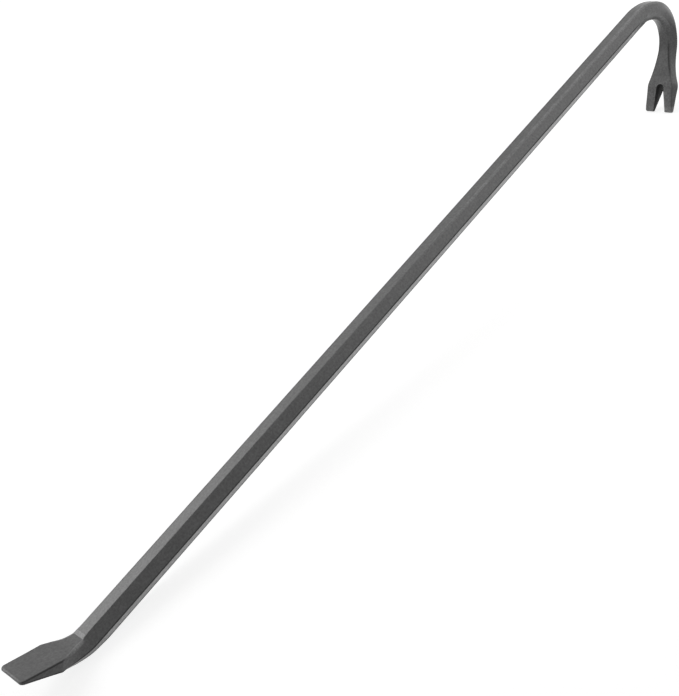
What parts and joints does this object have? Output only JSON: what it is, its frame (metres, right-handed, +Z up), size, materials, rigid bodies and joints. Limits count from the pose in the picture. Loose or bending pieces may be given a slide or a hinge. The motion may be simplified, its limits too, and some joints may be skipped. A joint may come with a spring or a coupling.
{
  "type": "gooseneck wrecking bar",
  "caption": "Forged hexagonal steel bar with a chisel blade at one end and a hooked, slotted nail claw at the other, for prying and pulling nails.",
  "frame": {"origin": "middle of the overall box, on the floor that the heel and the claw tips stand on", "axes": "+X along the bar's length towards the hook and claw, +Y across the bar, square to the plane of both bends, +Z up"},
  "size_m": [0.9028, 0.0348, 0.1248],
  "materials": {
    "painted_steel": "dark grey low-gloss paint over a forged surface, slightly grainy"
  },
  "bodies": {
    "root": {"wrecking_bar": "painted_steel"}
  },
  "joints": []
}
